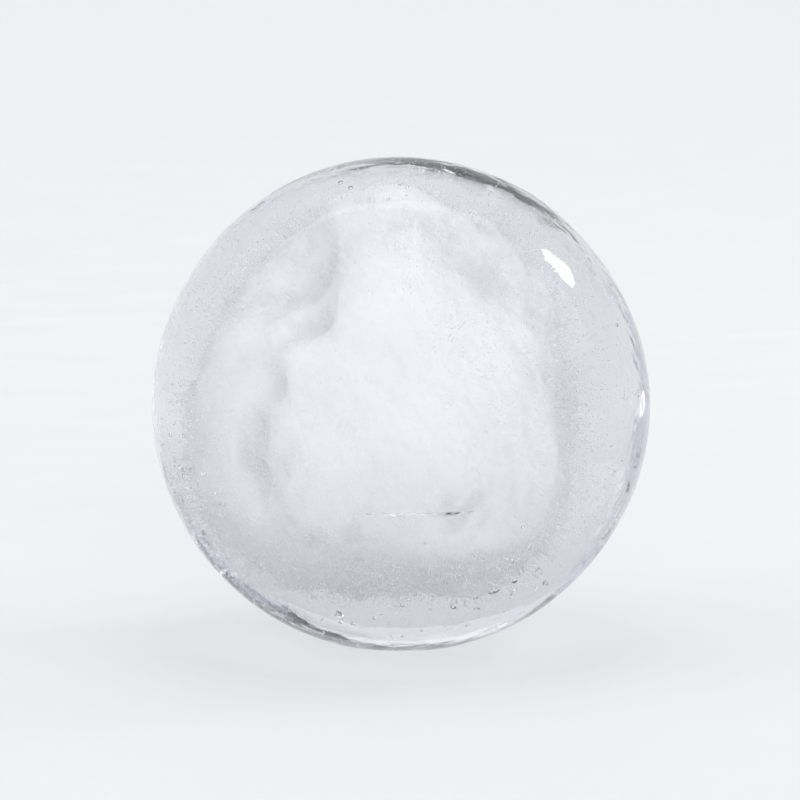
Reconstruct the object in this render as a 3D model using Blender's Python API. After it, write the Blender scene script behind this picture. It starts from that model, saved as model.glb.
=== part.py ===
"""A ball of frozen water that stands on a small flat where it has melted.

Run with: blender --background --python part.py
Metres, +Z up. The origin is the middle of the flat that the ball rests on, and the side that
faces -Y is its front.
"""

import math

import bmesh
import bpy
from mathutils import Vector

# Driving dimensions
BALL_RADIUS = 0.030
FOOT_RADIUS = 0.0075  # the round flat under the ball
FOOT_EDGE_RADIUS = 0.004  # how softly the flat's edge turns up into the ball

# The edge's arc touches both the ground and the sphere. Its centre stands over the flat's rim, and
# lies on a line from the sphere's centre, which gives the sphere's height and that line's angle.
EDGE_TO_CENTRE = BALL_RADIUS - FOOT_EDGE_RADIUS
CENTRE_HEIGHT = FOOT_EDGE_RADIUS + math.sqrt(EDGE_TO_CENTRE**2 - FOOT_RADIUS**2)
EDGE_ANGLE = math.asin(FOOT_RADIUS / EDGE_TO_CENTRE)

# Broad places where the ball has melted a little flatter than a sphere. Azimuth turns from the
# front (-Y) towards +X, elevation is above the middle, and spread is how wide the place is.
MELTED_FLATS = (
    {"azimuth": -38.0, "elevation": -26.0, "spread": 24.0, "depth": 0.00042},
    {"azimuth": 52.0, "elevation": 34.0, "spread": 21.0, "depth": 0.00034},
    {"azimuth": 8.0, "elevation": 71.0, "spread": 26.0, "depth": 0.00030},
    {"azimuth": 128.0, "elevation": -12.0, "spread": 27.0, "depth": 0.00046},
    {"azimuth": -118.0, "elevation": 22.0, "spread": 23.0, "depth": 0.00036},
    {"azimuth": 176.0, "elevation": 41.0, "spread": 20.0, "depth": 0.00028},
    {"azimuth": -170.0, "elevation": -38.0, "spread": 22.0, "depth": 0.00032},
)

# The last water to freeze pushed the ice out here, so the ball swells a little
FREEZING_SWELL = {"azimuth": 78.0, "elevation": -8.0, "spread": 30.0, "height": 0.00026}

MELT_STARTS_AT = 0.0005  # below this height the melting leaves the foot as it is
MELT_IS_FULL_AT = 0.0060

SEGMENTS = 76  # round the upright axis
RINGS = 36  # from the foot's edge to the top
EDGE_STEPS = 3
MERGE_DISTANCE = 1e-6
SMOOTH_EDGE_ANGLE = math.radians(12.0)

ICE_COLOUR = (0.86, 0.89, 0.94, 1.0)
ICE_ROUGHNESS = 0.06
ICE_INDEX = 1.31  # refractive index of ice


def clear_scene():
    for old in list(bpy.data.objects):
        bpy.data.objects.remove(old)


def direction(azimuth, elevation):
    """The unit vector for two angles in degrees: azimuth from -Y towards +X, elevation from level."""
    a = math.radians(azimuth)
    e = math.radians(elevation)
    return Vector((math.sin(a) * math.cos(e), -math.cos(a) * math.cos(e), math.sin(e)))


def bell(place, towards):
    """1 in the middle of a place on the ball, falling smoothly to 0 outside its spread."""
    apart = direction(place["azimuth"], place["elevation"]).angle(towards, 0.0)
    return math.exp(-((apart / math.radians(place["spread"])) ** 2))


def smooth_step(value, low, high):
    share = min(max((value - low) / (high - low), 0.0), 1.0)
    return share * share * (3.0 - 2.0 * share)


def relief(towards):
    """How far the melted surface stands proud of the sphere in a direction, in metres."""
    melted = sum(flat["depth"] * bell(flat, towards) for flat in MELTED_FLATS)
    return FREEZING_SWELL["height"] * bell(FREEZING_SWELL, towards) - melted


def outline():
    """Half the ball's upright section, from the flat's rim round the edge's arc and up to the top."""
    points = []
    for step in range(EDGE_STEPS):
        angle = EDGE_ANGLE * step / EDGE_STEPS
        x = FOOT_RADIUS + FOOT_EDGE_RADIUS * math.sin(angle)
        z = FOOT_EDGE_RADIUS * (1.0 - math.cos(angle))
        points.append(Vector((x, 0.0, z)))
    for step in range(RINGS + 1):
        angle = EDGE_ANGLE + (math.pi - EDGE_ANGLE) * step / RINGS
        x = BALL_RADIUS * math.sin(angle)
        z = CENTRE_HEIGHT - BALL_RADIUS * math.cos(angle)
        points.append(Vector((x, 0.0, z)))
    return points


def turn_outline(bm):
    """Turns the outline about the upright axis and closes the foot with one flat face."""
    verts = [bm.verts.new(point) for point in outline()]
    edges = [bm.edges.new(pair) for pair in zip(verts, verts[1:])]
    bmesh.ops.spin(
        bm,
        geom=verts + edges,
        cent=(0.0, 0.0, 0.0),
        axis=(0.0, 0.0, 1.0),
        angle=2.0 * math.pi,
        steps=SEGMENTS,
        use_merge=True,
    )
    bmesh.ops.remove_doubles(bm, verts=bm.verts[:], dist=MERGE_DISTANCE)
    rim = [edge for edge in bm.edges if edge.is_boundary]
    bmesh.ops.contextual_create(bm, geom=rim)


def melt(bm):
    """Moves the surface in and out along lines from the ball's centre, and leaves the foot flat."""
    centre = Vector((0.0, 0.0, CENTRE_HEIGHT))
    for vert in bm.verts:
        towards = (vert.co - centre).normalized()
        share = smooth_step(vert.co.z, MELT_STARTS_AT, MELT_IS_FULL_AT)
        vert.co += towards * relief(towards) * share


def ice_mesh():
    bm = bmesh.new()
    turn_outline(bm)
    melt(bm)
    bmesh.ops.recalc_face_normals(bm, faces=bm.faces[:])
    mesh = bpy.data.meshes.new("ice_ball")
    bm.to_mesh(mesh)
    bm.free()
    mesh.shade_smooth()
    mesh.set_sharp_from_angle(angle=SMOOTH_EDGE_ANGLE)
    return mesh


def ice_material():
    """Clear ice: light passes through it and bends."""
    material = bpy.data.materials.new("ice")
    material.use_nodes = True
    shader = material.node_tree.nodes["Principled BSDF"]
    shader.inputs["Base Color"].default_value = ICE_COLOUR
    shader.inputs["Roughness"].default_value = ICE_ROUGHNESS
    shader.inputs["Metallic"].default_value = 0.0
    shader.inputs["IOR"].default_value = ICE_INDEX
    shader.inputs["Transmission Weight"].default_value = 1.0
    return material


def main():
    clear_scene()
    ball = bpy.data.objects.new("ice_ball", ice_mesh())
    ball.data.materials.append(ice_material())
    bpy.context.scene.collection.objects.link(ball)


main()
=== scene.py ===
import math

import bpy
import numpy as np
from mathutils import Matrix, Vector


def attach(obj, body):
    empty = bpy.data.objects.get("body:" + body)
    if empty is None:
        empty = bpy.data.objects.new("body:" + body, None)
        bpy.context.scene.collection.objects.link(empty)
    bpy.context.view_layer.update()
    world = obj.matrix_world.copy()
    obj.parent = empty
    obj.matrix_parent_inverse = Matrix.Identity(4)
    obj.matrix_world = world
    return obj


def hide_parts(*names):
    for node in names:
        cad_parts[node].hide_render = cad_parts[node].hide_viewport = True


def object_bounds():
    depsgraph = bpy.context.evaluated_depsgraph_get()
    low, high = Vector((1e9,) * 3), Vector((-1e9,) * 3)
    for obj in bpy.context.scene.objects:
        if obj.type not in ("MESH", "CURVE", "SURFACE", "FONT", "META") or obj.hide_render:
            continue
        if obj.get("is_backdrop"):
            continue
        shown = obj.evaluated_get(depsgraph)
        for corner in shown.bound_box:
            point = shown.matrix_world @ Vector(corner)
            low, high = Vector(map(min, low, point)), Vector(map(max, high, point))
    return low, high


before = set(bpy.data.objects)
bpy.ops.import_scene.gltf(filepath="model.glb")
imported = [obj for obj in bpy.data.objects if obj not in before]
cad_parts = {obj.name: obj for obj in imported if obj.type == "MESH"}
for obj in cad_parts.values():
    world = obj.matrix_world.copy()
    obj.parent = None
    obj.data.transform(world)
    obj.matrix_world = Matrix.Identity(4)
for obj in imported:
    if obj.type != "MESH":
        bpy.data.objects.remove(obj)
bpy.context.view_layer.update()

# The ball of ice: clear outside, cloudy white inside. Lengths are in metres and angles in
# degrees. Azimuth turns from the front (-Y) towards +X, elevation is above the middle.


# ways of making shapes

def unitVector(azimuth, elevation):
    # East, north and up parts of a direction from its two angles
    a, e = np.radians(azimuth), np.radians(elevation)
    return np.stack([np.sin(a) * np.cos(e), -np.cos(a) * np.cos(e), np.sin(e) + 0 * a], axis=-1)


def unitRows(vectors):
    # Each row divided by its own length
    return vectors / np.linalg.norm(vectors, axis=1, keepdims=True)


def bell(directions, azimuth, elevation, width):
    # e to the minus square of (angle from the middle of the place / width)
    apart = np.arccos(np.clip(directions @ unitVector(azimuth, elevation), -1, 1))
    return np.exp(-(apart / math.radians(width)) ** 2)


def smoothStep(value, low, high):
    # 3 s squared minus 2 s cubed, where s is how far value has come from low to high
    share = np.clip((value - low) / (high - low), 0, 1)
    return share * share * (3 - 2 * share)


def waves(points, length, count, seed):
    # Sum of plane cosine waves of one length, in random directions with random starts, scaled to
    # an average size of 1
    rng = np.random.default_rng(seed)
    way = unitRows(rng.normal(size=(count, 3))) * (2 * math.pi / length)
    start = rng.uniform(0, 2 * math.pi, count)
    return np.cos(points @ way.T + start).sum(axis=1) * math.sqrt(2 / count)


def cubeSphere(cells):
    # Six square grids, each a function of two angles from -45 to 45 degrees: (tan a, tan b, 1) on
    # that side of a cube, pulled in to length 1. Points that two grids share are merged.
    t = np.tan(np.linspace(-math.pi / 4, math.pi / 4, cells + 1))
    a, b = np.meshgrid(t, t, indexing="ij")
    sides = []
    for u, v in (((1, 0, 0), (0, 1, 0)), ((0, 1, 0), (0, 0, 1)), ((0, 0, 1), (1, 0, 0)),
                 ((0, 1, 0), (1, 0, 0)), ((0, 0, 1), (0, 1, 0)), ((1, 0, 0), (0, 0, 1))):
        u, v = np.array(u, float), np.array(v, float)
        sides.append((a[..., None] * u + b[..., None] * v + np.cross(u, v)).reshape(-1, 3))
    points = unitRows(np.concatenate(sides))
    number = np.arange((cells + 1) ** 2).reshape(cells + 1, cells + 1)
    quads = np.stack([number[:-1, :-1], number[1:, :-1], number[1:, 1:], number[:-1, 1:]], axis=-1)
    quads = np.concatenate([quads.reshape(-1, 4) + side * (cells + 1) ** 2 for side in range(6)])
    first, merged = np.unique(np.round(points, 7), axis=0, return_index=True, return_inverse=True)[1:]
    return points[first], merged.reshape(-1)[quads]


def roundGrid(rows, columns):
    # A unit sphere as a grid: (sin v cos u, sin v sin u, cos v), v from pole to pole and u all the
    # way round, with one point at each pole. Gives each point's u too, and faces of three corners.
    v, u = np.meshgrid(np.linspace(0, math.pi, rows + 1)[1:-1],
                       np.linspace(0, 2 * math.pi, columns, endpoint=False), indexing="ij")
    u, v = np.append(u.ravel(), (0, 0)), np.append(v.ravel(), (0, math.pi))
    points = np.stack([np.sin(v) * np.cos(u), np.sin(v) * np.sin(u), np.cos(v)], axis=-1)
    i, j = np.meshgrid(np.arange(rows - 2), np.arange(columns), indexing="ij")
    i, j = i.ravel() * columns, j.ravel()
    k = (j + 1) % columns
    body = [np.stack([i + j, i + columns + j, i + columns + k], axis=-1),
            np.stack([i + j, i + columns + k, i + k], axis=-1)]
    j = np.arange(columns)
    k = (j + 1) % columns
    top, bottom, last = len(u) - 2, len(u) - 1, (rows - 2) * columns
    caps = [np.stack([0 * j + top, j, k], axis=-1),
            np.stack([0 * j + bottom, last + k, last + j], axis=-1)]
    return points, u, np.concatenate(body + caps)


def repeated(pattern, count, step):
    # The same faces again for every copy, each time numbered one copy further on
    return (pattern[None] + (np.arange(count) * step)[:, None, None]).reshape(-1, pattern.shape[1])


def addPiece(name, points, faces, material, **fields):
    # Whole arrays of points and of faces with equally many corners go into one smooth mesh, and
    # each further array becomes a number on its points
    mesh = bpy.data.meshes.new(name)
    mesh.vertices.add(len(points))
    mesh.vertices.foreach_set("co", np.ascontiguousarray(points, np.float32).ravel())
    corners = faces.shape[1]
    mesh.loops.add(faces.size)
    mesh.loops.foreach_set("vertex_index", faces.astype(np.int32).ravel())
    mesh.polygons.add(len(faces))
    mesh.polygons.foreach_set("loop_start", np.arange(0, faces.size, corners, dtype=np.int32))
    mesh.update(calc_edges=True)
    mesh.validate()
    mesh.shade_smooth()
    for field, values in fields.items():
        kept = mesh.attributes.new(field, "FLOAT", "POINT")
        kept.data.foreach_set("value", np.ascontiguousarray(values, np.float32))
    mesh.materials.append(material)
    piece = bpy.data.objects.new(name, mesh)
    bpy.context.scene.collection.objects.link(piece)
    return piece


def addIcePiece(name, points, faces, material, **fields):
    # A piece of the ball itself: it rides on the one body
    piece = addPiece(name, points, faces, material, **fields)
    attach(piece, "root")
    print(name + ":", len(faces), "faces")
    return piece


# ways of making materials

def newMaterial(name):
    # A new material, its tree of nodes, and the surface and the output in it
    material = bpy.data.materials.new(name)
    material.use_nodes = True
    tree = material.node_tree
    return material, tree, tree.nodes["Principled BSDF"], tree.nodes["Material Output"]


def noise(tree, scale, detail=4.0, roughness=0.55, distortion=0.0):
    # Sum of finer and finer noise at the piece's own coordinates, scale grains to the metre
    place = tree.nodes.new("ShaderNodeTexCoord")
    node = tree.nodes.new("ShaderNodeTexNoise")
    node.inputs["Scale"].default_value = scale
    node.inputs["Detail"].default_value = detail
    node.inputs["Roughness"].default_value = roughness
    node.inputs["Distortion"].default_value = distortion
    tree.links.new(place.outputs["Object"], node.inputs["Vector"])
    return node.outputs["Fac"]


def remapped(tree, value, low, high, toLow, toHigh):
    # toLow plus the share that value has come from low to high, times toHigh less toLow
    node = tree.nodes.new("ShaderNodeMapRange")
    node.inputs["From Min"].default_value = low
    node.inputs["From Max"].default_value = high
    node.inputs["To Min"].default_value = toLow
    node.inputs["To Max"].default_value = toHigh
    tree.links.new(value, node.inputs["Value"])
    return node.outputs["Result"]


def added(tree, one, other):
    # One plus the other
    node = tree.nodes.new("ShaderNodeMath")
    node.operation = "ADD"
    tree.links.new(one, node.inputs[0])
    tree.links.new(other, node.inputs[1])
    return node.outputs[0]


def tones(tree, value, stops):
    # The colour at value, mixed in a straight line between the stops on either side of it
    node = tree.nodes.new("ShaderNodeValToRGB")
    ramp = node.color_ramp
    while len(ramp.elements) < len(stops):
        ramp.elements.new(0.5)
    for element, (where, colour) in zip(ramp.elements, stops):
        element.position = where
        element.color = (*colour, 1)
    tree.links.new(value, node.inputs["Fac"])
    return node.outputs["Color"]


def bumped(tree, height, strength, distance):
    # The surface's facing, tipped by the slope of height times distance
    node = tree.nodes.new("ShaderNodeBump")
    node.inputs["Strength"].default_value = strength
    node.inputs["Distance"].default_value = distance
    tree.links.new(height, node.inputs["Height"])
    return node.outputs["Normal"]


# the clear ice

iceBall = {
    "radius": 0.030,
    "footRadius": 0.0075,  # the round flat it rests on
    "footEdge": 0.004,  # how softly the flat turns up into the ball
    # azimuth, elevation, width and depth of each place that melted flatter
    "meltedFlats": (
        (-38, -26, 24, 0.00042), (52, 34, 21, 0.00034), (8, 71, 26, 0.00030),
        (128, -12, 27, 0.00046), (-118, 22, 23, 0.00036), (176, 41, 20, 0.00028),
        (-170, -38, 22, 0.00032),
    ),
    "swell": (78, -8, 30, 0.00026),  # where freezing pushed it out
    "meltStartsAt": 0.0005,  # heights between which melting sets in above the foot
    "meltIsFullAt": 0.0060,
    # length, height and seed of each size of melted ripple
    "ripples": ((0.019, 0.00004, 11), (0.009, 0.000016, 12), (0.004, 0.000004, 13)),
    "rippleWaves": 24,
    "cells": 118,  # along each side of a cube of grids
    "index": 1.31,
    "surface": (0.985, 0.99, 1),
    "tint": (0.655, 0.668, 0.735),
    "tintDensity": 12.0,
    "frostScale": 90,
    "frostBetween": (0.35, 0.75),  # noise values between which it goes from smoothest to roughest
    "smoothest": 0.02,
    "roughest": 0.08,
    "grainScale": 420,
    "grainStrength": 0.12,
    "grainHeight": 0.0004,
}
edgeToCentre = iceBall["radius"] - iceBall["footEdge"]
centreHeight = iceBall["footEdge"] + math.sqrt(edgeToCentre ** 2 - iceBall["footRadius"] ** 2)
centre = np.array([0, 0, centreHeight])


def iceSurface(directions):
    # Distance from the centre in each direction: down to the flat foot, then to the circle of the
    # foot's soft edge, then the ball's radius. Above the foot, bells of melting come off it and
    # low waves ride on it.
    down = -directions[:, 2]
    out = np.hypot(directions[:, 0], directions[:, 1])
    angle = np.arctan2(out, down)
    foot = iceBall["footRadius"]
    along = out * foot + down * (centreHeight - iceBall["footEdge"])
    edge = along + np.sqrt(np.maximum(along ** 2 - edgeToCentre ** 2 + iceBall["footEdge"] ** 2, 0))
    flat = centreHeight / np.maximum(down, 1e-6)
    distance = np.where(angle < math.atan2(foot, centreHeight), flat,
                        np.where(angle < math.asin(foot / edgeToCentre), edge, iceBall["radius"]))
    relief = iceBall["swell"][3] * bell(directions, *iceBall["swell"][:3])
    for azimuth, elevation, width, depth in iceBall["meltedFlats"]:
        relief = relief - depth * bell(directions, azimuth, elevation, width)
    for length, size, seed in iceBall["ripples"]:
        ripple = waves(directions * iceBall["radius"], length, iceBall["rippleWaves"], seed)
        relief = relief + size * ripple
    height = centreHeight + directions[:, 2] * distance
    return distance + relief * smoothStep(height, iceBall["meltStartsAt"], iceBall["meltIsFullAt"])


def clearIceMaterial():
    # Light bends by ice's index and passes through. Of each colour, e to the minus (density times
    # 1 less the tint times the way through the ice) is left. Noise makes the surface a little
    # rougher in places and finely uneven.
    material, tree, shader, output = newMaterial("clearIce")
    shader.inputs["Base Color"].default_value = (*iceBall["surface"], 1)
    shader.inputs["IOR"].default_value = iceBall["index"]
    shader.inputs["Transmission Weight"].default_value = 1
    frost = noise(tree, iceBall["frostScale"], 3, 0.6)
    frost = remapped(tree, frost, *iceBall["frostBetween"], iceBall["smoothest"], iceBall["roughest"])
    tree.links.new(frost, shader.inputs["Roughness"])
    grain = noise(tree, iceBall["grainScale"], 1)
    tree.links.new(bumped(tree, grain, iceBall["grainStrength"], iceBall["grainHeight"]),
                   shader.inputs["Normal"])
    absorb = tree.nodes.new("ShaderNodeVolumeAbsorption")
    absorb.inputs["Color"].default_value = (*iceBall["tint"], 1)
    absorb.inputs["Density"].default_value = iceBall["tintDensity"]
    tree.links.new(absorb.outputs["Volume"], output.inputs["Volume"])
    return material


directions, quads = cubeSphere(iceBall["cells"])
clearIce = addIcePiece("clear_ice", centre + directions * iceSurface(directions)[:, None], quads,
                       clearIceMaterial())
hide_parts("ice_ball")


# the white cloud in the middle

cloud = {
    "radius": 0.0178,
    # azimuth, elevation, width and height of its lobes, and with a minus sign its clear hollows
    "lobes": (
        (170, 80, 24, 0.0012), (4, -80, 32, -0.0016), (-104, -18, 30, 0.0018),
        (-118, -46, 26, 0.0020), (-28, -40, 20, 0.0010), (40, -34, 24, 0.0010), (146, 34, 28, 0.0020),
        (-150, 30, 26, 0.0016), (172, -20, 26, 0.0014), (118, -50, 24, 0.0016),
        (-74, 56, 21, -0.0046), (-41, 37, 8, -0.0042), (-51, 10, 7, -0.0038), (-66, -24, 9, -0.0028),
        (-58, -6, 7, -0.0020), (76, 60, 24, -0.0034), (98, 8, 36, -0.0032),
        (-172, 52, 15, -0.0026), (-128, -6, 15, -0.0024), (150, -2, 11, -0.0024),
        (-158, -44, 12, -0.0018),
    ),
    # the ridge that climbs the front to the top: it rises and falls between east values of a unit
    # direction, and fades out downwards and backwards between up values and front values
    "ridgeHeight": 0.0024,
    "ridgeLeft": (-0.42, -0.33),
    "ridgeRight": (0.06, 0.34),
    "ridgeFoot": (0.30, 0.66),
    "ridgeBack": (-0.7, 0),
    # length, height and seed of each size of lump
    "lumps": ((0.0120, 0.00034, 21), (0.0058, 0.00017, 22), (0.0028, 0.00008, 23),
              (0.0013, 0.00004, 24)),
    "lumpWaves": 32,
    "cells": 112,
    # azimuth, elevation and width of its whitest places and its greyer ones
    # The two whitest places underneath, at elevations -80 and -62, are painted light that lightens
    # the cloud where the ball's shade falls
    "whitest": ((-8, 44, 26), (6, 4, 30), (160, 0, 60), (-100, 0, 30), (0, -80, 50), (0, -62, 26)),
    "greyest": ((-34, -38, 20), (26, -38, 20), (66, 4, 26), (-62, 42, 20), (-60, -12, 12),
                (-150, -40, 26), (90, 50, 26), (-20, 84, 14)),
    "toneStep": 0.34,  # how much such a place adds or takes away
    # length, strength and seed of each size of streak
    "streaks": ((0.0052, 0.10, 71), (0.0024, 0.07, 72)),
    "streakWaves": 40,
    "streakSquash": 0.45,  # of the upright, which draws them out along it
    "strongerUnderneath": 0.4,
    "strongerBetween": (0.1, 0.5),  # down values
    # how far the bubbles round it still reach underneath, and down values between which they thin
    "leftUnderneath": 0.6,
    "thinsBetween": (0.5, 0.9),
    # milk number and colour of each of its tones
    "tones": ((0.12, (0.838, 0.841, 0.852)), (0.42, (0.927, 0.929, 0.936)),
              (0.72, (0.973, 0.974, 0.978))),
    "veinScale": 170,
    "veinBetween": (0.3, 0.7),  # noise values between which the veins go from dark to light
    "veined": 0.2,  # how much they change the milk number
    "leastRough": 0.7,
    "grainScale": 900,
    "grainStrength": 0.3,
    "grainHeight": 0.0003,
    "scattered": 0.006,  # how far light spreads in it
}


def cloudSurface(directions):
    # The cloud's radius, plus a bell for each lobe and less one for each hollow, plus the ridge as
    # the product of four smooth steps, plus lumps of four sizes
    distance = np.full(len(directions), cloud["radius"])
    for azimuth, elevation, width, height in cloud["lobes"]:
        distance += height * bell(directions, azimuth, elevation, width)
    east, front, up = directions[:, 0], -directions[:, 1], directions[:, 2]
    ridge = smoothStep(east, *cloud["ridgeLeft"]) * (1 - smoothStep(east, *cloud["ridgeRight"]))
    ridge *= smoothStep(up, *cloud["ridgeFoot"]) * smoothStep(front, *cloud["ridgeBack"])
    distance += cloud["ridgeHeight"] * ridge
    for length, size, seed in cloud["lumps"]:
        distance += size * waves(directions * cloud["radius"], length, cloud["lumpWaves"], seed)
    return distance


def milkAndPaintedLight(directions):
    # Half, plus and minus the bells of its whitest and greyest places, plus waves of two lengths that
    # are drawn out along the upright, as the freezing leaves them, and stronger underneath. The
    # whitest bells underneath are painted light that lifts the shade falling under the cloud.
    milk = np.full(len(directions), 0.5)
    for place in cloud["whitest"]:
        milk += cloud["toneStep"] * bell(directions, *place)
    for place in cloud["greyest"]:
        milk -= cloud["toneStep"] * bell(directions, *place)
    squashed = directions * cloud["radius"] * (1, 1, cloud["streakSquash"])
    uneven = sum(strength * waves(squashed, length, cloud["streakWaves"], seed)
                 for length, strength, seed in cloud["streaks"])
    under = smoothStep(-directions[:, 2], *cloud["strongerBetween"])
    return milk + uneven * (1 + cloud["strongerUnderneath"] * under)


def thinning(directions):
    # 1, falling smoothly to a small share underneath, where the water froze last and clearest
    return 1 - (1 - cloud["leftUnderneath"]) * smoothStep(-directions[:, 2], *cloud["thinsBetween"])


def cloudMaterial(name, veined, scattered):
    # White where the milk number is high and greyer lavender where it is low, broken up by noise.
    # The light that goes into it is scattered on its way out again, over the distance scattered.
    material, tree, shader, output = newMaterial(name)
    shader.inputs["IOR"].default_value = iceBall["index"]
    shader.inputs["Specular IOR Level"].default_value = 0
    shader.inputs["Subsurface Weight"].default_value = 1 if scattered else 0
    shader.inputs["Subsurface Radius"].default_value = (1, 1, 1)
    shader.inputs["Subsurface Scale"].default_value = scattered
    # The milk number on the points: the cloud's own tone, plus painted light that makes it lighter
    # underneath
    milk = tree.nodes.new("ShaderNodeAttribute")
    milk.attribute_name = "milk"
    veins = noise(tree, cloud["veinScale"], 4, 0.62, 0.5)
    shift = remapped(tree, veins, *cloud["veinBetween"], -veined, veined)
    mixed = added(tree, milk.outputs["Fac"], shift)
    tree.links.new(tones(tree, mixed, cloud["tones"]), shader.inputs["Base Color"])
    tree.links.new(remapped(tree, veins, *cloud["veinBetween"], cloud["leastRough"], 1),
                   shader.inputs["Roughness"])
    grain = noise(tree, cloud["grainScale"], 2, 0.6)
    tree.links.new(bumped(tree, grain, cloud["grainStrength"], cloud["grainHeight"]),
                   shader.inputs["Normal"])
    return material


directions, quads = cubeSphere(cloud["cells"])
addIcePiece("white_cloud", centre + directions * cloudSurface(directions)[:, None], quads,
            cloudMaterial("cloudWhite", cloud["veined"], cloud["scattered"]),
            milk=milkAndPaintedLight(directions))


# thin bubbles that grew outwards from the cloud as the ice closed in

needleBubbles = {
    "count": 24000,
    "shortest": 0.0005,
    "longest": 0.0044,
    "lengthShape": (1.3, 3.0),  # of the beta draw between them, so that most are short
    "thinnest": 0.000015,  # half widths
    "thickest": 0.000045,
    "waist": 0.34,  # share of its length at which a bubble is thickest
    "sunk": 0.0004,  # into the cloud
    "clearOutside": 0.0012,  # of ice that stays clear under the ball's surface
    "leanAngle": 6.0,
    "tuftLength": 0.0040,  # how far apart the tufts are
    "tuftWaves": 28,
    "tuftBetween": (-0.9, 2.0),  # heights of the wave between which they grow
    "whiter": 0.25,  # than the cloud behind
    "veined": 0.1,
    "seed": 31,
}


def needles():
    # Each bubble is a spindle of six points: a tip on the cloud, four round it a third of the way
    # along, and a tip further out along the line from the centre, leant over a little. Where a
    # wave pattern is high they are long, so they stand in tufts.
    n = needleBubbles
    rng = np.random.default_rng(n["seed"])
    way = unitRows(rng.normal(size=(n["count"], 3)))
    start = cloudSurface(way) - n["sunk"]
    tuft = waves(way * cloud["radius"], n["tuftLength"], n["tuftWaves"], n["seed"] + 1)
    tuft = smoothStep(tuft, *n["tuftBetween"]) * rng.beta(*n["lengthShape"], n["count"])
    length = n["shortest"] + (n["longest"] - n["shortest"]) * tuft
    length = np.minimum(length * thinning(way), iceSurface(way) - n["clearOutside"] - start)
    half = rng.uniform(n["thinnest"], n["thickest"], n["count"])[:, None]
    lean = rng.normal(size=way.shape) * math.radians(n["leanAngle"])
    along = unitRows(way + lean)
    side = unitRows(np.cross(along, rng.normal(size=way.shape)))
    other = np.cross(along, side)
    foot = centre + way * start[:, None]
    waist = foot + along * (length * n["waist"])[:, None]
    points = np.stack([foot, waist + side * half, waist + other * half, waist - side * half,
                       waist - other * half, foot + along * length[:, None]], axis=1)
    pattern = np.array([(0, 2, 1), (0, 3, 2), (0, 4, 3), (0, 1, 4),
                        (5, 1, 2), (5, 2, 3), (5, 3, 4), (5, 4, 1)])
    milk = np.repeat(milkAndPaintedLight(way) + n["whiter"], 6)
    return points.reshape(-1, 3), repeated(pattern, n["count"], 6), milk


points, faces, milk = needles()
needleWhite = cloudMaterial("needleWhite", needleBubbles["veined"], 0)
addIcePiece("needle_bubbles", points, faces, needleWhite, milk=milk)


# fine round bubbles, thick by the cloud and thinning out into the clear ice

fineBubbles = {
    "count": 24000,
    "fallOff": 0.0013,
    "smallest": 0.000035,
    "largest": 0.000125,
    "sizeShape": (1.2, 3.0),  # of the beta draw between them, so that most are small
    "clearOutside": 0.001,
    "patchLength": 0.0065,
    "patchWaves": 28,
    "patchSeed": 42,
    "patchBetween": (-1.2, 1.8),  # heights of the wave between which they spread
    "leastSpread": 0.25,
    "mostSpread": 2.0,
    "whiter": 0.25,
    "veined": 0.1,
    "seeds": (41, 43, 45),  # one piece for each
}


def fineRound(seed):
    # Each bubble is eight faces round six points at plus and minus its radius on turned axes. Its
    # distance from the cloud falls off as an exponential, further where a wave pattern is high.
    f = fineBubbles
    rng = np.random.default_rng(seed)
    way = unitRows(rng.normal(size=(f["count"], 3)))
    patch = waves(way * cloud["radius"], f["patchLength"], f["patchWaves"], f["patchSeed"])
    patch = smoothStep(patch, *f["patchBetween"])
    spread = f["leastSpread"] + (f["mostSpread"] - f["leastSpread"]) * patch
    away = rng.exponential(f["fallOff"], f["count"]) * spread * thinning(way)
    away = np.minimum(cloudSurface(way) + away, iceSurface(way) - f["clearOutside"])[:, None]
    size = rng.beta(*f["sizeShape"], f["count"])
    size = f["smallest"] + (f["largest"] - f["smallest"]) * size
    one = unitRows(rng.normal(size=way.shape))
    two = unitRows(np.cross(one, way))
    three = np.cross(one, two)
    axes = np.stack([one, two, three, -one, -two, -three], axis=1) * size[:, None, None]
    points = (centre + way * away)[:, None] + axes
    pattern = np.array([(0, 1, 2), (1, 3, 2), (3, 4, 2), (4, 0, 2),
                        (1, 0, 5), (3, 1, 5), (4, 3, 5), (0, 4, 5)])
    milk = np.repeat(milkAndPaintedLight(way) + f["whiter"], 6)
    return points.reshape(-1, 3), repeated(pattern, f["count"], 6), milk


fineWhite = cloudMaterial("fineWhite", fineBubbles["veined"], 0)
for number, seed in enumerate(fineBubbles["seeds"], 1):
    points, faces, milk = fineRound(seed)
    addIcePiece("fine_bubbles_" + str(number), points, faces, fineWhite, milk=milk)


# round air bubbles that show one by one, and cracks: both are air inside the ice

airBubbles = {
    "index": 1 / iceBall["index"],  # of air inside ice
    # azimuth, elevation and width of a cluster, its nearest and furthest from the centre, how many
    "clusters": (
        (-72, -18, 6, 0.0225, 0.0255, 16), (34, -48, 12, 0.0225, 0.0270, 14),
        (-8, -62, 16, 0.0235, 0.0270, 20), (100, 20, 16, 0.0200, 0.0265, 10),
        (170, -20, 22, 0.0225, 0.0270, 14), (-130, -40, 14, 0.0225, 0.0270, 12),
        (0, 85, 22, 0.0225, 0.0270, 8),
    ),
    "smallest": 0.00012,
    "largest": 0.00045,
    "sizeShape": (1.1, 3.2),
    "stretch": (1.0, 1.5),  # how much longer than wide they are
    "roughest": 0.03,
    "rows": 8,
    "columns": 10,
    "seed": 51,
}


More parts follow.
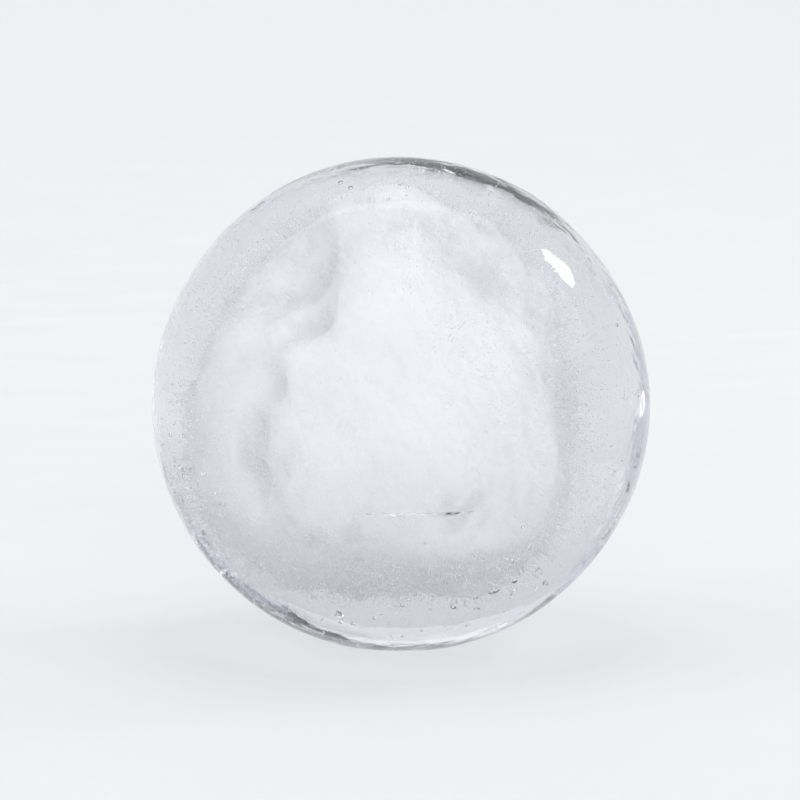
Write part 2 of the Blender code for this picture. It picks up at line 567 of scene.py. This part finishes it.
def airMaterial(name, roughest):
    # Air in the ice bends light the other way, so it is glass with the index turned upside down.
    # Noise makes its walls rougher in places, up to roughest.
    material, tree, shader, output = newMaterial(name)
    glass = tree.nodes.new("ShaderNodeBsdfGlass")
    glass.inputs["IOR"].default_value = airBubbles["index"]
    tree.links.new(remapped(tree, noise(tree, 500, 3), 0.3, 0.7, 0, roughest),
                   glass.inputs["Roughness"])
    tree.nodes.remove(shader)
    tree.links.new(glass.outputs["BSDF"], output.inputs["Surface"])
    return material


def airRound():
    # A unit sphere's grid times each bubble's radius, a little longer along the line from the
    # ball's centre
    a = airBubbles
    rng = np.random.default_rng(a["seed"])
    places, sizes = [], []
    for azimuth, elevation, width, near, far, count in a["clusters"]:
        spot = unitVector(azimuth, elevation) + rng.normal(size=(count, 3)) * math.radians(width)
        places.append(unitRows(spot) * rng.uniform(near, far, (count, 1)))
        drawn = rng.beta(*a["sizeShape"], count)
        sizes.append(a["smallest"] + (a["largest"] - a["smallest"]) * drawn)
    places, sizes = np.concatenate(places), np.concatenate(sizes)
    out = unitRows(places)
    side = unitRows(np.cross(out, (0.3, 0.5, 0.8)))
    other = np.cross(out, side)
    unit, u, pattern = roundGrid(a["rows"], a["columns"])
    axes = np.stack([side, other, out * rng.uniform(*a["stretch"], (len(sizes), 1))], axis=1)
    points = (centre + places)[:, None] + unit @ (axes * sizes[:, None, None])
    return points.reshape(-1, 3), repeated(pattern, len(sizes), len(unit))


addIcePiece("air_bubbles", *airRound(), airMaterial("airBubble", airBubbles["roughest"]))

cracks = {
    # azimuth, elevation and distance of its middle, half length, half height, how its plane is
    # swung, tipped and turned from facing outwards, waviness, thickness, seed
    "sheets": (
        (6, -25, 0.0224, 0.0058, 0.0008, 4, 62, 3, 0.00024, 0.00005, 61),
        (34, -46, 0.0268, 0.0007, 0.0004, 30, 40, 40, 0.00015, 0.00020, 64),
        (39, -42, 0.0270, 0.0005, 0.0004, 10, 52, 80, 0.00012, 0.00022, 65),
        (44, -47, 0.0266, 0.0008, 0.0003, 60, 20, 10, 0.00016, 0.00018, 67),
        (31, -52, 0.0270, 0.0004, 0.0003, 0, 60, 20, 0.00010, 0.00020, 68),
        (47, -39, 0.0268, 0.0004, 0.0003, 50, 30, -40, 0.00010, 0.00018, 69),
    ),
    # the outline's unevenness: a sum of cosines round it, whose size falls with the number of turns
    "uneven": 0.16,
    "unevenFall": 0.6,
    "unevenTurns": (2, 3, 4, 5, 6, 7, 8),
    "bends": ((1.6, 1), (0.5, 0.35)),  # length in half lengths of the sheet, share of the waviness
    "bendWaves": 12,
    "roughest": 0.05,
    "rows": 28,
    "columns": 56,
}


def crackSheet(azimuth, elevation, distance, halfLength, halfHeight, swing, tip, turn, wavy,
               thickness, seed):
    # A round grid squashed flat: sin v times an uneven outline of u gives the place on the sheet,
    # cos v which of its two faces it is on, and waves of two lengths bend the whole sheet
    unit, u, faces = roundGrid(cracks["rows"], cracks["columns"])
    rng = np.random.default_rng(seed)
    outline = 1 + sum(rng.uniform(-1, 1) * cracks["uneven"] / n ** cracks["unevenFall"]
                      * np.cos(n * u + rng.uniform(0, 6.3)) for n in cracks["unevenTurns"])
    x, y = halfLength * unit[:, 0] * outline, halfHeight * unit[:, 1] * outline
    flat = np.stack([x, y, 0 * x], axis=-1)
    bend = sum(share * waves(flat, halfLength * length, cracks["bendWaves"], seed + number)
               for number, (length, share) in enumerate(cracks["bends"], 1))
    local = np.stack([x, y, wavy * bend + thickness / 2 * unit[:, 2]], axis=-1)
    # East, up and out at its place, then turned about out, tipped about east, swung about up
    out = unitVector(azimuth, elevation)
    east = np.cross((0, 0, 1), out)
    east /= np.linalg.norm(east)
    s, t, r = np.radians((swing, tip, turn))
    turned = np.array([(np.cos(r), -np.sin(r), 0), (np.sin(r), np.cos(r), 0), (0, 0, 1)])
    tipped = np.array([(1, 0, 0), (0, np.cos(t), -np.sin(t)), (0, np.sin(t), np.cos(t))])
    swung = np.array([(np.cos(s), 0, np.sin(s)), (0, 1, 0), (-np.sin(s), 0, np.cos(s))])
    axes = np.stack([east, np.cross(out, east), out], axis=0)
    return centre + out * distance + local @ (swung @ tipped @ turned).T @ axes, faces


sheets = [crackSheet(*sheet) for sheet in cracks["sheets"]]
starts = np.cumsum([0] + [len(points) for points, faces in sheets])
addIcePiece("cracks", np.concatenate([points for points, faces in sheets]),
            np.concatenate([faces + start for (points, faces), start in zip(sheets, starts)]),
            airMaterial("crackAir", cracks["roughest"]))


# floor, light and camera

studio = {
    "floorColour": (0.447, 0.448, 0.453),
    "floorGlow": 0.31,  # the floor is a pale sheet lit softly from below
    "paintedPoolGlow": 0.47,  # painted light: a pool of glow a little stronger right under the ball, which lightens its shadow there
    "paintedPoolBetween": (0.006, 0.028),  # distances from the middle between which that painted pool of light fades
    "floorDrop": 0.00005,  # below the foot, so that the two faces don't lie in each other
    "floorFan": 0.02,  # radii of the closed fan in the middle, of the flat and of the wall's top
    "floorFlat": 0.5,
    "floorRadius": 2.0,
    "wallHeight": 1.3,
    "flatRings": 24,
    "wallRings": 32,
    "floorTurns": 128,
    "glowColour": (0.99, 0.992, 1),
    "skyTop": (0.97, 0.975, 1.0),
    "skyLow": (0.86, 0.865, 0.89),
    "skyStrength": 0.95,
    # name, azimuth, elevation, distance, width, height, watts, colour
    "lights": (
        ("top", 180, 66, 1.1, 0.9, 0.9, 1.0, (1.0, 1.0, 1.0)),
        ("side_left", -74, 36, 1.3, 1.2, 0.85, 3.2, (1.0, 0.998, 0.995)),
        ("side_right", 84, 32, 1.3, 0.95, 0.7, 2.0, (0.99, 0.995, 1.0)),
        ("front_low", 6, 9, 1.0, 1.6, 0.28, 1.8, (1.0, 1.0, 1.0)),
        ("glint", 121.5, 35, 0.9, 0.13, 0.16, 0.9, (1.0, 1.0, 1.0)),
    ),
    "narrow": ("front_low",),  # kept off the floor and out of reflections
    "narrowSpread": 60.0,
    # the light on the wall behind: place, where it points, width, height, watts, colour
    "wash": ((0, 0.55, 1.3), (0, 1.75, 0.3), 1.4, 0.5, 3.2, (1, 1, 1)),
    "cameraAzimuth": 0.0,
    "cameraElevation": 6.0,
    "cameraDistance": 0.404,
    "lens": 150.0,
}


def floorBowl():
    # A profile turned about the upright axis: flat out to one radius, then a quarter of an ellipse
    # up to the wall's top. The middle is one closed fan.
    s = studio
    turns = s["floorTurns"]
    bend = np.linspace(0, math.pi / 2, s["wallRings"] + 1)[1:]
    r = np.append(np.linspace(s["floorFan"], s["floorFlat"], s["flatRings"]),
                  s["floorFlat"] + (s["floorRadius"] - s["floorFlat"]) * np.sin(bend))
    z = np.append(np.zeros(s["flatRings"]), s["wallHeight"] * (1 - np.cos(bend))) - s["floorDrop"]
    u = np.linspace(0, 2 * math.pi, turns, endpoint=False)
    points = np.stack([r[:, None] * np.cos(u), r[:, None] * np.sin(u), z[:, None] + 0 * u], axis=-1)
    points = np.concatenate([points.reshape(-1, 3), [(0, 0, -s["floorDrop"])]])
    i, j = np.meshgrid(np.arange(len(r) - 1) * turns, np.arange(turns), indexing="ij")
    i, j = i.ravel(), j.ravel()
    k = (j + 1) % turns
    body = [np.stack([i + j, i + turns + j, i + turns + k], axis=-1),
            np.stack([i + j, i + turns + k, i + k], axis=-1)]
    j = np.arange(turns)
    fan = np.stack([0 * j + len(points) - 1, j, (j + 1) % turns], axis=-1)
    return points, np.concatenate(body + [fan])


floorPale, tree, shader, output = newMaterial("floorPale")
shader.inputs["Base Color"].default_value = (*studio["floorColour"], 1)
shader.inputs["Specular IOR Level"].default_value = 0.2
shader.inputs["Emission Color"].default_value = (*studio["glowColour"], 1)
fromMiddle = tree.nodes.new("ShaderNodeVectorMath")
fromMiddle.operation = "LENGTH"
tree.links.new(tree.nodes.new("ShaderNodeTexCoord").outputs["Object"], fromMiddle.inputs[0])
# The floor glows evenly, and more in a painted pool of light under the ball that lightens the ball's
# shadow
glow = remapped(tree, fromMiddle.outputs["Value"], *studio["paintedPoolBetween"],
                studio["paintedPoolGlow"], studio["floorGlow"])
tree.links.new(glow, shader.inputs["Emission Strength"])
tree.links.new(remapped(tree, noise(tree, 30), 0.3, 0.7, 0.55, 0.7), shader.inputs["Roughness"])
floorPale.cycles.emission_sampling = "NONE"  # it is wide enough to be met by chance
floor = addPiece("floor", *floorBowl(), floorPale)
floor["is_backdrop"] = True

scene = bpy.context.scene
scene.world = bpy.data.worlds.new("studioSky")
scene.world.use_nodes = True
tree = scene.world.node_tree
split = tree.nodes.new("ShaderNodeSeparateXYZ")
tree.links.new(tree.nodes.new("ShaderNodeTexCoord").outputs["Generated"], split.inputs["Vector"])
height = remapped(tree, split.outputs["Z"], -0.1, 1.0, 0, 1)
tree.links.new(tones(tree, height, ((0.0, studio["skyLow"]), (1.0, studio["skyTop"]))),
               tree.nodes["Background"].inputs["Color"])
tree.nodes["Background"].inputs["Strength"].default_value = studio["skyStrength"]


def addLight(name, place, towards, width, height, watts, colour):
    # A soft box at one point, turned so that its front (-Z) points along towards minus place
    lamp = bpy.data.lights.new("light_" + name, "AREA")
    lamp.shape = "RECTANGLE"
    lamp.size, lamp.size_y = width, height
    lamp.energy = watts
    lamp.color = colour
    light = bpy.data.objects.new("light_" + name, lamp)
    light.location = place
    light.rotation_euler = (towards - place).to_track_quat("-Z", "Y").to_euler()
    light.visible_camera = False
    if name in studio["narrow"]:
        lamp.spread = math.radians(studio["narrowSpread"])
        light.visible_glossy = False
    scene.collection.objects.link(light)


aim = Vector((0, 0, centreHeight))
for name, azimuth, elevation, distance, width, height, watts, colour in studio["lights"]:
    place = aim + Vector(unitVector(azimuth, elevation)) * distance
    addLight(name, place, aim, width, height, watts, colour)
place, towards, *wash = studio["wash"]
addLight("wash", Vector(place), Vector(towards), *wash)

camera = bpy.data.objects.new("camera", bpy.data.cameras.new("camera"))
camera.data.lens = studio["lens"]
camera.data.clip_start = 0.01
camera.data.clip_end = 20
back = Vector(unitVector(studio["cameraAzimuth"], studio["cameraElevation"]))
camera.location = Vector((0, 0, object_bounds()[1][2] / 2)) + back * studio["cameraDistance"]
camera.rotation_euler = (-back).to_track_quat("-Z", "Y").to_euler()
scene.collection.objects.link(camera)
scene.camera = camera

scene.view_settings.view_transform = "Standard"
scene.cycles.max_bounces = 16
scene.cycles.transmission_bounces = 12
scene.cycles.glossy_bounces = 6
scene.cycles.diffuse_bounces = 6
print("floor, light and camera are in place")
